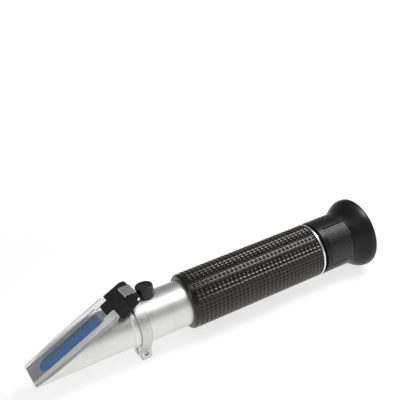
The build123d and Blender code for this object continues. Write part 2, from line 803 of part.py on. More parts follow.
def lens_tube():
    """Tube that carries the eyepiece lenses; a flange holds the eyecup's web."""
    inner = lens_seat_radius
    flange_start = floor_x + tube_fit
    flange_end = flange_start + tube_flange
    lip = eye_lens_end - tube_lip
    return turned(corners(
        (tube_start, inner), (tube_start, tube_radius), (flange_start, tube_radius),
        (flange_start, tube_flange_radius), (flange_end, tube_flange_radius), (flange_end, inner),
        (eye_lens_end, inner), (eye_lens_end, inner - tube_lip), (lip, inner - tube_lip),
        (lip, inner), (tube_start, inner)))


def lens_retainer():
    """Screwed ring that holds the lenses in their tube."""
    outer = lens_seat_radius - lens_fit
    ring = tube(field_lens_x - retainer_length, field_lens_x, outer, outer - retainer_wall)
    slot = Pos(field_lens_x - retainer_length, 0, 0) * Box(
        2 * retainer_slot_depth, 2 * tube_radius, retainer_slot_width)
    return ring - slot


def field_lens():
    """Front lens of the eyepiece."""
    return lens(field_lens_x, field_lens_end, lens_seat_radius - lens_fit, field_lens_crown)


def lens_spacer():
    """Tube between the two eyepiece lenses."""
    outer = lens_seat_radius - lens_fit
    return tube(field_lens_end, eye_lens_x, outer, outer - spacer_wall)


def eye_lens():
    """Rear lens of the eyepiece, against the lip of its tube."""
    return lens(eye_lens_x, eye_lens_x + eye_lens_rim, lens_seat_radius - lens_fit,
                eye_lens_crown)


def eyecup():
    """Soft black eyepiece: a straight neck to turn and a flared cup for the eye."""
    middle = ((neck_end + flare_end) / 2, 0, (neck_radius + cup_radius) / 2)
    neck_line = Line((cup_start, 0, neck_radius), (neck_end, 0, neck_radius))
    out_curve = TangentArc((neck_end, 0, neck_radius), middle, tangent=(1, 0, 0))
    in_curve = TangentArc((flare_end, 0, cup_radius), middle, tangent=(-1, 0, 0))
    lip = total_length - cup_lip_round
    inner_lip = cup_radius - 2 * cup_lip_round
    rim = Line((flare_end, 0, cup_radius), (lip, 0, cup_radius))
    lip_curve = ThreePointArc((lip, 0, cup_radius),
                              (total_length, 0, cup_radius - cup_lip_round),
                              (lip, 0, inner_lip))
    web_bore = tube_radius + tube_fit
    hollow = neck_radius - neck_wall
    web_start = floor_x - web_thickness
    inside = corners((lip, inner_lip), (neck_end + cup_well, well_radius + cup_well_flare),
                     (floor_x, well_radius), (floor_x, web_bore), (web_start, web_bore),
                     (web_start, hollow), (cup_start, hollow), (cup_start, neck_radius))
    return turned(neck_line, out_curve, in_curve, rim, lip_curve, inside)


def sealing_ring():
    """Rubber ring in the nose's groove."""
    middle = barrel_bore - o_ring_section / 2
    return Pos(o_ring_x, 0, 0) * Rot(0, 90, 0) * Torus(middle, o_ring_section / 2)


def measuring_prism():
    """Glass wedge set into the housing under the cover plate."""
    return prism_shape(0)


made = {
    "prism_housing": prism_housing(), "measuring_prism": measuring_prism(),
    "prism_seal": prism_seal(), "sealing_ring": sealing_ring(), "barrel": barrel(),
    "clamp_band": clamp_band(), "clamp_screw": clamp_screw(), "hinge_base": hinge_base(),
    "hinge_base_screws": hinge_base_screws(), "daylight_plate": daylight_plate(),
    "cover_holder": cover_holder(), "hinge_pin": hinge_pin(), "leaf_spring": leaf_spring(),
    "calibration_bush": calibration_bush(), "calibration_screw": calibration_screw(),
    "calibration_cap": calibration_cap(), "bimetal_strip": bimetal_strip(),
    "objective_cell": objective_cell(), "objective_lens": objective_lens(),
    "anchor_ring": anchor_ring(), "strip_screw": strip_screw(), "baffle_tube": baffle_tube(),
    "reticle_disc": reticle_disc(), "reticle_ring": reticle_ring(),
    "rubber_grip": rubber_grip(), "trim_ring": trim_ring(), "eyepiece_seat": eyepiece_seat(),
    "lens_tube": lens_tube(), "lens_retainer": lens_retainer(), "field_lens": field_lens(),
    "lens_spacer": lens_spacer(), "eye_lens": eye_lens(), "eyecup": eyecup(),
}

os.makedirs("parts", exist_ok=True)
set_down = Pos(-total_length / 2, 0, lug_bottom)
for name, shape in made.items():
    solids = shape if isinstance(shape, list) else shape.solids()
    placed = [set_down * solid for solid in solids]
    whole = placed[0] if len(placed) == 1 else Compound(children=placed)
    export_step(whole, f"parts/{name}.step")
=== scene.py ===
# %% [markdown]
# # A hand-held brix refractometer
# The real object is a metal tube that is held level towards the light. A drop of juice goes between
# the blue prism and the clear cover plate, and the eye looks in at the soft black eyecup.
# The solids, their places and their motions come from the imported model, so this lesson only dresses
# them: it gives every solid a finish and adds what is too fine for the solids, such as studs.
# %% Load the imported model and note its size
import math

import bpy
import numpy as np
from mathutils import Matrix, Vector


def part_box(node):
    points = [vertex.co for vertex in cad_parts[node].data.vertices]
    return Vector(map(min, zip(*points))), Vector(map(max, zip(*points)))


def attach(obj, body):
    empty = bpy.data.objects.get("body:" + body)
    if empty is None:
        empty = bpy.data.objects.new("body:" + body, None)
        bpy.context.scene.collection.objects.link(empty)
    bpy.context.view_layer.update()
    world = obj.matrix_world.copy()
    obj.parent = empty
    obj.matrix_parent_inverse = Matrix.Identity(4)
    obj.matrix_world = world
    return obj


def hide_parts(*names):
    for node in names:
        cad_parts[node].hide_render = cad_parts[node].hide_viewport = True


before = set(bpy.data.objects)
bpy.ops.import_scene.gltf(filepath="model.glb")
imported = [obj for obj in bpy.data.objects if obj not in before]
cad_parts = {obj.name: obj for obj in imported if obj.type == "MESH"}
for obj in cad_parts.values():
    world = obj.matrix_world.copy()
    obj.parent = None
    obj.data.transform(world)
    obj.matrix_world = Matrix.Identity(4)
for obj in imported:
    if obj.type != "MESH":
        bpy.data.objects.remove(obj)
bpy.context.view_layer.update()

MM = 0.001                                   # the scene is in metres
MICRON = 0.000001


# %% [markdown]
# The photograph was taken from the left, above and in front, with a lens about 32 cm from the
# instrument. A camera in the same place with the same angle of view shows every piece at the same
# spot of the picture, so the two can be laid over each other. It is set first, because all that
# follows is judged through it.
# %% Camera at the photographer's place
camera_place = (-110.76, -252.81, 168.48)    # millimetres in the model's frame
camera_turn = (68.2065, 9.3112, -28.1758)    # degrees about X, Y and Z
film_width, lens_length = 36, 64.139         # millimetres
camera_data = bpy.data.cameras.new("photographer_lens")
camera_data.sensor_width = film_width
camera_data.lens = lens_length
camera_data.dof.use_dof = False
camera = bpy.data.objects.new("photographer", camera_data)
camera.location = [MM * step for step in camera_place]
camera.rotation_euler = [math.radians(turn) for turn in camera_turn]
bpy.context.scene.collection.objects.link(camera)
bpy.context.scene.camera = camera
bpy.context.scene.view_settings.view_transform = "Standard"
print("camera at", tuple(camera.location), "lens", camera_data.lens)

# %% [markdown]
# The photograph shows the instrument against plain white, so here it lies on white paper. Paper
# takes a soft shadow, and it shows white to the eye, also in metal that mirrors it and through
# glass. The paint below has a part for each. The matt part takes the shadow. The glowing part gives
# light only to rays that the camera sends out, straight, mirrored or through glass, so it whitens
# the picture and sheds no scattered light on the instrument. The matt part gets darker away from
# the lamps, so the glow grows with the distance.
# %% White paper
paper_grey = (0.30, 0.30, 0.30, 1)
near_reach, far_reach = 0.15, 0.90           # metres from the middle of the instrument
near_glow, far_glow = 0.76, 1.0              # strength of the glow at those distances
paper_paint = bpy.data.materials.new("paper_paint")
paper_paint.use_nodes = True
paper_nodes, paper_links = paper_paint.node_tree.nodes, paper_paint.node_tree.links
paper_nodes.remove(paper_nodes["Principled BSDF"])
matt_part = paper_nodes.new("ShaderNodeBsdfDiffuse")
matt_part.inputs["Color"].default_value = paper_grey
glowing_part = paper_nodes.new("ShaderNodeEmission")
both_parts = paper_nodes.new("ShaderNodeAddShader")
paper_links.new(matt_part.outputs[0], both_parts.inputs[0])
paper_links.new(glowing_part.outputs[0], both_parts.inputs[1])
paper_links.new(both_parts.outputs[0], paper_nodes["Material Output"].inputs["Surface"])
print("paper glows with", near_glow, "up to", near_reach, "m and", far_glow, "from", far_reach, "m")

# %% [markdown]
# The glow is a product of two numbers. One says whether the camera sees the paper along this ray:
# it is the largest of three switches, for straight, mirrored and passed rays. The other runs from
# the near to the far glow with the distance from the middle.
# %% Glow of the paper
ray = paper_nodes.new("ShaderNodeLightPath")
mirrored_or_passed, seen, glow = [paper_nodes.new("ShaderNodeMath") for step in range(3)]
mirrored_or_passed.operation = seen.operation = "MAXIMUM"
glow.operation = "MULTIPLY"
paper_links.new(ray.outputs["Is Glossy Ray"], mirrored_or_passed.inputs[0])
paper_links.new(ray.outputs["Is Transmission Ray"], mirrored_or_passed.inputs[1])
paper_links.new(mirrored_or_passed.outputs[0], seen.inputs[0])
paper_links.new(ray.outputs["Is Camera Ray"], seen.inputs[1])

floor_point = paper_nodes.new("ShaderNodeNewGeometry")
distance = paper_nodes.new("ShaderNodeVectorMath")
distance.operation = "LENGTH"
fade = paper_nodes.new("ShaderNodeMapRange")
fade.inputs["From Min"].default_value = near_reach
fade.inputs["From Max"].default_value = far_reach
fade.inputs["To Min"].default_value = near_glow
fade.inputs["To Max"].default_value = far_glow
paper_links.new(floor_point.outputs["Position"], distance.inputs[0])
paper_links.new(distance.outputs["Value"], fade.inputs["Value"])
paper_links.new(seen.outputs[0], glow.inputs[0])
paper_links.new(fade.outputs["Result"], glow.inputs[1])
paper_links.new(glow.outputs[0], glowing_part.inputs["Strength"])
print("paper paint has", len(paper_nodes), "nodes")

# %% [markdown]
# The floor is one flat square, so large that this camera never sees its edge. It lies a hair under
# the lowest solid, so that the two don't share a plane.
# %% Pale floor
floor_side, floor_level = 8.0, -0.00003      # metres


def sheet_mesh(name, side, height):
    """A flat square: x and y run over plus and minus half the side, and z is the height."""
    corner_x = np.array([-1, 1, 1, -1]) * side / 2
    corner_y = np.array([-1, -1, 1, 1]) * side / 2
    corners = np.column_stack([corner_x, corner_y, np.full(4, height)])
    mesh = bpy.data.meshes.new(name)
    mesh.from_pydata(corners.tolist(), [], [(0, 1, 2, 3)])
    return mesh


floor = bpy.data.objects.new("paper_floor", sheet_mesh("paper_floor", floor_side, floor_level))
floor.data.materials.append(paper_paint)
bpy.context.scene.collection.objects.link(floor)

# %% [markdown]
# A black rubber grip and a satin tube only look right when they mirror a room that is not equally
# bright all round. The room here depends on height alone: pale at the foot of the walls, dim
# higher up, and a little brighter again straight overhead.
# %% Room light
# height from straight down (0) over level (0.5) to straight up (1), and the brightness there
wall_levels = [(0.0, 0.70), (0.49, 0.64), (0.56, 0.39), (0.70, 0.26), (0.88, 0.18), (1.0, 0.38)]
wall_blue = 1.01                             # blue over red, for a trace of cold light
room = bpy.data.worlds.new("photo_room")
bpy.context.scene.world = room
room.use_nodes = True
room_nodes, room_links = room.node_tree.nodes, room.node_tree.links
direction = room_nodes.new("ShaderNodeTexCoord")
heights = room_nodes.new("ShaderNodeSeparateXYZ")
room_links.new(direction.outputs["Generated"], heights.inputs[0])
from_zero = room_nodes.new("ShaderNodeMath")   # turns -1 to 1 into 0 to 1
from_zero.operation = "MULTIPLY_ADD"
from_zero.inputs[1].default_value = 0.5
from_zero.inputs[2].default_value = 0.5
room_links.new(heights.outputs["Z"], from_zero.inputs[0])
walls = room_nodes.new("ShaderNodeValToRGB")
for place, level in wall_levels[:-2]:        # a new ramp has two stops already
    walls.color_ramp.elements.new(place)
for stop, (place, level) in zip(walls.color_ramp.elements, wall_levels):
    stop.position = place
    stop.color = (level, level, level * wall_blue, 1)
room_links.new(from_zero.outputs[0], walls.inputs[0])
room_links.new(walls.outputs["Color"], room_nodes["Background"].inputs["Color"])
print("room levels from floor to ceiling:", [level for place, level in wall_levels])


# %% [markdown]
# Three large lamps give soft highlights. The one on the right is the brightest: the studs of the
# grip and the upper side of the tube mirror it. A weak one hangs over the tube, and one on the left
# lights the nose and the cover.
# %% Soft lamps
def soft_lamp(name, place, aim, width, depth, watts):
    """A rectangular lamp at a place in metres, turned to look at the aim."""
    light = bpy.data.lights.new(name, "AREA")
    light.shape = "RECTANGLE"
    light.size = width
    light.size_y = depth
    light.energy = watts
    lamp = bpy.data.objects.new(name, light)
    lamp.location = place
    lamp.rotation_euler = (lamp.location - Vector(aim)).to_track_quat("Z", "Y").to_euler()
    bpy.context.scene.collection.objects.link(lamp)


soft_lamp("tube_softbox", place=(-0.12, -0.23, 0.57), aim=(-0.12, 0.0, 0.0),
          width=0.46, depth=0.28, watts=0.3)
soft_lamp("grip_softbox", place=(0.42, -0.14, 0.57), aim=(0.42, 0.0, 0.0),
          width=0.42, depth=0.24, watts=3.9)
soft_lamp("left_softbox", place=(-0.75, -0.30, 0.45), aim=(-0.02, 0.0, 0.0),
          width=0.40, depth=0.40, watts=1.7)


# %% [markdown]
# A finish is more than a colour. Rubber has a skin of tiny grains, a turned tube has lines that run
# round it from the lathe, and every used surface is a little glossier here and duller there. Each
# finish below starts from one shader with its plain values on its own sockets. Noise patterns then
# vary the colour and the gloss, and press fine dents into the surface. The patterns are fixed to
# the piece by its own coordinates, so they move along with it.
# %% A finish, and noise to vary it
def new_finish(name, colour, roughness, metallic=0.0, **sockets):
    """A material whose shader holds the colour, roughness, metallic value and other sockets."""
    finish = bpy.data.materials.new(name)
    finish.use_nodes = True
    shader = finish.node_tree.nodes["Principled BSDF"]
    shader.inputs["Base Color"].default_value = (*colour, 1)
    shader.inputs["Roughness"].default_value = roughness
    shader.inputs["Metallic"].default_value = metallic
    for socket, value in sockets.items():
        shader.inputs[socket.replace("_", " ")].default_value = value
    return finish


def noise(finish, scale, stretch=(1, 1, 1), detail=3.0):
    """Noise on the piece's own coordinates, in waves per metre, times stretch along X, Y and Z."""
    nodes, links = finish.node_tree.nodes, finish.node_tree.links
    place = nodes.new("ShaderNodeTexCoord")
    mapping = nodes.new("ShaderNodeMapping")
    mapping.inputs["Scale"].default_value = stretch
    cloud = nodes.new("ShaderNodeTexNoise")
    cloud.inputs["Scale"].default_value = scale
    cloud.inputs["Detail"].default_value = detail
    links.new(place.outputs["Object"], mapping.inputs["Vector"])
    links.new(mapping.outputs["Vector"], cloud.inputs["Vector"])
    return cloud.outputs["Fac"]


print("a finish starts from one shader, and noise is in waves per metre")


# %% [markdown]
# Noise can drive three things: the colour, the gloss, and the height of the surface. Noise values
# crowd round one half, so the colour and the gloss use only the middle of their range.
# %% Colour, gloss and grain from noise
noise_low, noise_high = 0.3, 0.7             # nearly all noise values lie between these


def vary_colour(finish, pattern, darker, lighter, low=0.35, high=0.65):
    """The base colour runs from darker to lighter while the pattern runs from low to high."""
    nodes, links = finish.node_tree.nodes, finish.node_tree.links
    ramp = nodes.new("ShaderNodeValToRGB")
    for stop, place, colour in zip(ramp.color_ramp.elements, (low, high), (darker, lighter)):
        stop.position = place
        stop.color = (*colour, 1)
    links.new(pattern, ramp.inputs["Fac"])
    links.new(ramp.outputs["Color"], nodes["Principled BSDF"].inputs["Base Color"])


def vary_gloss(finish, pattern, glossier, duller):
    """The roughness runs from glossier to duller while the noise runs from low to high."""
    nodes, links = finish.node_tree.nodes, finish.node_tree.links
    spread = nodes.new("ShaderNodeMapRange")
    spread.inputs["From Min"].default_value = noise_low
    spread.inputs["From Max"].default_value = noise_high
    spread.inputs["To Min"].default_value = glossier
    spread.inputs["To Max"].default_value = duller
    links.new(pattern, spread.inputs["Value"])
    links.new(spread.outputs["Result"], nodes["Principled BSDF"].inputs["Roughness"])


def press_grain(finish, pattern, depth, strength):
    """Dents of the given depth in metres where the pattern is low."""
    nodes, links = finish.node_tree.nodes, finish.node_tree.links
    dents = nodes.new("ShaderNodeBump")
    dents.inputs["Strength"].default_value = strength
    dents.inputs["Distance"].default_value = depth
    links.new(pattern, dents.inputs["Height"])
    links.new(dents.outputs["Normal"], nodes["Principled BSDF"].inputs["Normal"])


def dress(finish, *solids):
    """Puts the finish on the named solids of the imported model."""
    for name in solids:
        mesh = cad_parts[name].data
        mesh.materials.clear()
        mesh.materials.append(finish)
    print(finish.name, "on", ", ".join(solids))


print("noise from", noise_low, "to", noise_high, "spans the gloss")

# %% [markdown]
# The nose and the tube are aluminium, turned on a lathe, blasted a little and anodised. Round the
# axis the lathe leaves hair lines, which spread a highlight. The pattern is therefore squeezed along
# the axis and long around it. The clamp band is cast and tumbled, so it is duller. The small rounds
# of its edges are painted a darker grey, painted shade that draws its outline.
# %% Aluminium
satin_aluminium = new_finish("satin_aluminium", (0.77, 0.77, 0.76), roughness=0.43, metallic=1.0)
turning_lines = noise(satin_aluminium, 900, stretch=(9, 1, 1), detail=4)
press_grain(satin_aluminium, turning_lines, depth=4 * MICRON, strength=0.5)
vary_gloss(satin_aluminium, noise(satin_aluminium, 220, stretch=(2, 1, 1)), 0.40, 0.47)
vary_colour(satin_aluminium, noise(satin_aluminium, 60), (0.74, 0.74, 0.73), (0.80, 0.80, 0.79))
dress(satin_aluminium, "prism_housing", "barrel")

# painted shade: the dark grey given to the band's rounded edges stands in for the shade along them
aluminium_painted_shade = new_finish("aluminium_painted_shade", (0.26, 0.26, 0.26), roughness=0.40, metallic=1.0)
press_grain(aluminium_painted_shade, noise(aluminium_painted_shade, 5200, detail=4), depth=6 * MICRON, strength=0.4)

band_aluminium = new_finish("band_aluminium", (0.68, 0.68, 0.67), roughness=0.44, metallic=1.0)
press_grain(band_aluminium, noise(band_aluminium, 5200, detail=4), depth=10 * MICRON, strength=0.55)
vary_gloss(band_aluminium, noise(band_aluminium, 500), 0.38, 0.50)
vary_colour(band_aluminium, noise(band_aluminium, 160), (0.64, 0.64, 0.63), (0.71, 0.71, 0.70))

# %% [markdown]
# The thin ring behind the grip is chromed brass, nearly a mirror. The clamp screw, the pin and the
# strip are plain steel with faint scratches. The leaf spring is oiled spring steel, which is grey.
# The small screws under the hinge are blackened.
# %% Chrome and steel
polished_chrome = new_finish("polished_chrome", (0.85, 0.85, 0.84), roughness=0.26, metallic=1.0)
ring_lines = noise(polished_chrome, 900, stretch=(0.3, 1, 1))
press_grain(polished_chrome, ring_lines, depth=1 * MICRON, strength=0.2)
vary_gloss(polished_chrome, noise(polished_chrome, 400), 0.22, 0.30)
dress(polished_chrome, "trim_ring")

plain_steel = new_finish("plain_steel", (0.66, 0.65, 0.63), roughness=0.30, metallic=1.0)
steel_scratches = noise(plain_steel, 6000, stretch=(1, 0.2, 1))
press_grain(plain_steel, steel_scratches, depth=3 * MICRON, strength=0.5)
vary_gloss(plain_steel, noise(plain_steel, 900), 0.22, 0.40)
vary_colour(plain_steel, noise(plain_steel, 500), (0.58, 0.57, 0.55), (0.72, 0.71, 0.69))
dress(plain_steel, "clamp_screw", "hinge_pin", "strip_screw", "bimetal_strip")

oiled_spring_steel = new_finish("oiled_spring_steel", (0.64, 0.64, 0.65), roughness=0.42,
                                metallic=1.0)
spring_lines = noise(oiled_spring_steel, 7000, stretch=(0.15, 1, 1))
press_grain(oiled_spring_steel, spring_lines, depth=4 * MICRON, strength=0.6)
vary_gloss(oiled_spring_steel, noise(oiled_spring_steel, 900), 0.38, 0.50)
vary_colour(oiled_spring_steel, noise(oiled_spring_steel, 700), (0.60, 0.60, 0.61),
            (0.69, 0.69, 0.70))

black_steel = new_finish("black_steel", (0.05, 0.05, 0.055), roughness=0.35, metallic=0.6)
press_grain(black_steel, noise(black_steel, 6000), depth=4 * MICRON, strength=0.5)
vary_gloss(black_steel, noise(black_steel, 1200), 0.28, 0.46)
dress(black_steel, "hinge_base_screws")

# %% [markdown]
# The bush under the cap, the screw in it and the cell of the objective are brass, which a lathe
# leaves bright and warm. It shows when the cap is pulled off.
# %% Brass
turned_brass = new_finish("turned_brass", (0.72, 0.52, 0.25), roughness=0.28, metallic=1.0)
brass_lines = noise(turned_brass, 2400, stretch=(1, 1, 8))
press_grain(turned_brass, brass_lines, depth=4 * MICRON, strength=0.5)
vary_gloss(turned_brass, noise(turned_brass, 900), 0.20, 0.38)
vary_colour(turned_brass, noise(turned_brass, 500), (0.64, 0.45, 0.20), (0.78, 0.58, 0.30))
dress(turned_brass, "calibration_bush", "calibration_screw", "objective_cell")

# %% [markdown]
# The black finishes are each a little different. The grip is a hard rubber with a slight and warm
# shine. The eyecup is softer and duller, apart from its fine pips, which sparkle in the photograph
# and so get a glossier finish. The cap has a coarser skin, and the sealing ring is matt rubber.
# %% Black rubber
grip_rubber = new_finish("grip_rubber", (0.004, 0.004, 0.004), roughness=0.15,
                         Specular_IOR_Level=0.50, Specular_Tint=(1.0, 0.96, 0.88, 1.0))
press_grain(grip_rubber, noise(grip_rubber, 5200, detail=4), depth=3 * MICRON, strength=0.3)
vary_gloss(grip_rubber, noise(grip_rubber, 420), 0.12, 0.21)
vary_colour(grip_rubber, noise(grip_rubber, 260), (0.004, 0.004, 0.004), (0.008, 0.008, 0.008))

cup_rubber = new_finish("cup_rubber", (0.006, 0.006, 0.007), roughness=0.35,
                        Specular_IOR_Level=0.30)
press_grain(cup_rubber, noise(cup_rubber, 6500, detail=4), depth=6 * MICRON, strength=0.40)
vary_gloss(cup_rubber, noise(cup_rubber, 240), 0.31, 0.42)
vary_colour(cup_rubber, noise(cup_rubber, 120), (0.004, 0.004, 0.005), (0.008, 0.008, 0.009))
dress(cup_rubber, "eyecup")

pip_rubber = new_finish("pip_rubber", (0.005, 0.005, 0.005), roughness=0.20,
                        Specular_IOR_Level=0.45)
press_grain(pip_rubber, noise(pip_rubber, 6500, detail=4), depth=2 * MICRON, strength=0.3)

cap_rubber = new_finish("cap_rubber", (0.009, 0.009, 0.009), roughness=0.30,
                        Specular_IOR_Level=0.5)
press_grain(cap_rubber, noise(cap_rubber, 2500, detail=4), depth=8 * MICRON, strength=0.5)
vary_gloss(cap_rubber, noise(cap_rubber, 700), 0.26, 0.40)
vary_colour(cap_rubber, noise(cap_rubber, 500), (0.006, 0.006, 0.006), (0.012, 0.012, 0.012))
dress(cap_rubber, "calibration_cap")

ring_rubber = new_finish("ring_rubber", (0.020, 0.020, 0.020), roughness=0.5)
press_grain(ring_rubber, noise(ring_rubber, 5000), depth=6 * MICRON, strength=0.5)
dress(ring_rubber, "sealing_ring")

# %% [markdown]
# The hinge is moulded plastic with a fine spark-eroded grain. Inside, everything that light could
# strike is black anodised, so that it swallows what strays.
# %% Black plastic and anodised inner parts
hinge_plastic = new_finish("hinge_plastic", (0.009, 0.009, 0.010), roughness=0.50,
                           Specular_IOR_Level=0.25)
press_grain(hinge_plastic, noise(hinge_plastic, 9000, detail=2), depth=12 * MICRON, strength=0.6)
vary_gloss(hinge_plastic, noise(hinge_plastic, 800), 0.44, 0.62)
vary_colour(hinge_plastic, noise(hinge_plastic, 600), (0.006, 0.006, 0.007), (0.012, 0.012, 0.013))

inner_black = new_finish("inner_black", (0.030, 0.030, 0.032), roughness=0.55, metallic=0.4)
inner_lines = noise(inner_black, 1200, stretch=(8, 1, 1))
press_grain(inner_black, inner_lines, depth=6 * MICRON, strength=0.5)
vary_gloss(inner_black, noise(inner_black, 500), 0.45, 0.65)
vary_colour(inner_black, noise(inner_black, 300), (0.024, 0.024, 0.026), (0.038, 0.038, 0.040))
dress(inner_black, "anchor_ring", "baffle_tube", "reticle_ring", "eyepiece_seat", "lens_tube",
      "lens_retainer", "lens_spacer")

# %% [markdown]
# The cover plate is clear acrylic, which bends light a little less than glass does. The real rails
# are clear too, but their many edges gather the white round them and look pale, with grey lines. A
# half milky finish on the rails is a painted reflection of that white, and a grey finish on the edges
# is painted shade for the lines. The lenses are clear glass.
# %% Acrylic and lens glass
acrylic_bend, glass_bend = 1.49, 1.52        # index of refraction
clear_acrylic = new_finish("clear_acrylic", (0.96, 0.97, 0.985), roughness=0.03,
                           Transmission_Weight=0.99, IOR=acrylic_bend)
plate_waves = noise(clear_acrylic, 120, stretch=(1, 2, 2))
press_grain(clear_acrylic, plate_waves, depth=2 * MICRON, strength=0.15)
vary_gloss(clear_acrylic, noise(clear_acrylic, 300), 0.03, 0.09)

# painted reflection: the half milky white of the rails stands in for the white that clear rails
# gather
acrylic_painted_reflection = new_finish("acrylic_painted_reflection", (0.98, 0.98, 0.99), roughness=0.10,
                          Transmission_Weight=0.50, IOR=acrylic_bend)
rail_waves = noise(acrylic_painted_reflection, 500, stretch=(0.2, 1, 1))
press_grain(acrylic_painted_reflection, rail_waves, depth=3 * MICRON, strength=0.3)

# painted shade: the grey on the rails' inner walls and on the plate's rounded edges
acrylic_painted_shade = new_finish("acrylic_painted_shade", (0.45, 0.46, 0.49), roughness=0.15,
                          Transmission_Weight=0.3, IOR=acrylic_bend)
press_grain(acrylic_painted_shade, noise(acrylic_painted_shade, 900), depth=4 * MICRON, strength=0.4)

lens_glass = new_finish("lens_glass", (0.97, 0.99, 0.98), roughness=0.01,
                        Transmission_Weight=1.0, IOR=glass_bend)
press_grain(lens_glass, noise(lens_glass, 300), depth=1 * MICRON, strength=0.2)
dress(lens_glass, "objective_lens", "field_lens", "eye_lens", "reticle_disc")

# %% [markdown]
# The measuring prism is glass too, but in the photograph it looks deep blue, and the blue fades to
# slate at the far side. Its colour therefore runs from blue on the near side to a darker slate on the
# far side, and that darker slate is painted shade. The colour follows the place across the tube, so
# that it looks the same from everywhere. The seal round it is pale silicone.
# %% Blue prism and its seal
prism_half_width = 4.4 * MM
# the blue darkens to slate towards the far side of the prism: painted shade
near_blue, far_slate_painted_shade = (0.020, 0.260, 0.70), (0.080, 0.160, 0.240)
prism_blue = new_finish("prism_blue", (0.04, 0.17, 0.42), roughness=0.10, Specular_IOR_Level=0.2)
press_grain(prism_blue, noise(prism_blue, 150), depth=0.5 * MICRON, strength=0.1)
prism_nodes, prism_links = prism_blue.node_tree.nodes, prism_blue.node_tree.links
prism_place = prism_nodes.new("ShaderNodeTexCoord")
prism_across = prism_nodes.new("ShaderNodeSeparateXYZ")
prism_side = prism_nodes.new("ShaderNodeMapRange")
prism_side.inputs["From Min"].default_value = -prism_half_width
prism_side.inputs["From Max"].default_value = prism_half_width
prism_links.new(prism_place.outputs["Object"], prism_across.inputs[0])
prism_links.new(prism_across.outputs["Y"], prism_side.inputs["Value"])
vary_colour(prism_blue, prism_side.outputs["Result"], near_blue, far_slate_painted_shade, low=0.25, high=0.95)
dress(prism_blue, "measuring_prism")

pale_silicone = new_finish("pale_silicone", (0.62, 0.66, 0.69), roughness=0.45,
                           Subsurface_Weight=0.15)
press_grain(pale_silicone, noise(pale_silicone, 1500), depth=20 * MICRON, strength=0.5)
vary_gloss(pale_silicone, noise(pale_silicone, 900), 0.36, 0.56)
vary_colour(pale_silicone, noise(pale_silicone, 700), (0.54, 0.58, 0.62), (0.70, 0.73, 0.75))
dress(pale_silicone, "prism_seal")

# %% [markdown]
# Moulded and cast pieces have no razor edges: each edge is a small round that catches a thin line
# of light. The solids of the cover, the hinge and the band are exact but sharp, so each is copied,
# its loose triangles are joined, and its edges are rounded by a few tenths of a millimetre. The
# copy then stands for the solid at the same place.
# %% Pieces with softened edges
import bmesh

join_distance = 0.002 * MM
flat_turn = math.radians(1.0)                # faces that turn less than this are joined
sharp_turn = math.radians(35)                # edges that turn more than this are rounded


def joined_copy(solid):
    """Points and faces of a solid, with doubled points merged and flat neighbours joined."""
    shape = bmesh.new()
    shape.from_mesh(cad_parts[solid].data)
    bmesh.ops.remove_doubles(shape, verts=shape.verts, dist=join_distance)
    bmesh.ops.dissolve_limit(shape, angle_limit=flat_turn, verts=shape.verts, edges=shape.edges)
    shape.verts.index_update()
    points = [tuple(vert.co) for vert in shape.verts]
    sides = [[vert.index for vert in face.verts] for face in shape.faces]
    shape.free()
    return points, sides


def softened(name, solid, edge, finish, body="body", painted_shade_finish=None):
    """A joined copy of a solid, whose sharp edges are rounded by `edge` metres.

    The rounds take the finish of the faces beside them, or a darker finish of their own, which is
    painted shade.
    """
    points, sides = joined_copy(solid)
    mesh = bpy.data.meshes.new(name)
    mesh.from_pydata(points, [], sides)
    mesh.shade_smooth()
    mesh.materials.append(finish)
    piece = bpy.data.objects.new(name, mesh)
    bpy.context.scene.collection.objects.link(piece)
    rounding = piece.modifiers.new("edge_round", "BEVEL")
    rounding.width = edge
    rounding.segments = 2
    rounding.limit_method = "ANGLE"
    rounding.angle_limit = sharp_turn
    rounding.harden_normals = True
    if painted_shade_finish:
        mesh.materials.append(painted_shade_finish)
        rounding.material = 1
    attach(piece, body)
    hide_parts(solid)
    print(name, "has", len(sides), "faces before rounding")
    return piece


# %% [markdown]
# The plate of the cover is one piece with three finishes. Its window is clear. The inner wall of each
# rail is grey, which is painted shade, and the rest of a rail is half milky, which is a painted
# reflection of the white round it. Which is which depends only on how far a face lies from the middle
# of the plate.
# %% Cover, hinge and band
cover_glazing = softened("cover_glazing", "daylight_plate", 0.22 * MM, clear_acrylic,
                         "cover", acrylic_painted_shade)
cover_glazing.data.materials.append(acrylic_painted_reflection)
rail_wall, rail_body = 5.6 * MM, 6.15 * MM   # where a rail's inner wall and the rest of it start
face_middles = np.empty(len(cover_glazing.data.polygons) * 3)
cover_glazing.data.polygons.foreach_get("center", face_middles)
aside = abs(face_middles.reshape(-1, 3)[:, 1])
which_finish = np.where(aside > rail_body, 2, np.where(aside > rail_wall, 1, 0))
cover_glazing.data.polygons.foreach_set("material_index", which_finish.astype(np.int32))
softened("hinge_block", "cover_holder", 0.18 * MM, hinge_plastic, "cover")
softened("hinge_foot", "hinge_base", 0.12 * MM, hinge_plastic)
softened("spring_leaf", "leaf_spring", 0.12 * MM, oiled_spring_steel, "cover")
# the band's rounds get the painted shade, a darker grey that draws its outline
softened("tube_clamp", "clamp_band", 0.18 * MM, band_aluminium,
         painted_shade_finish=aluminium_painted_shade)

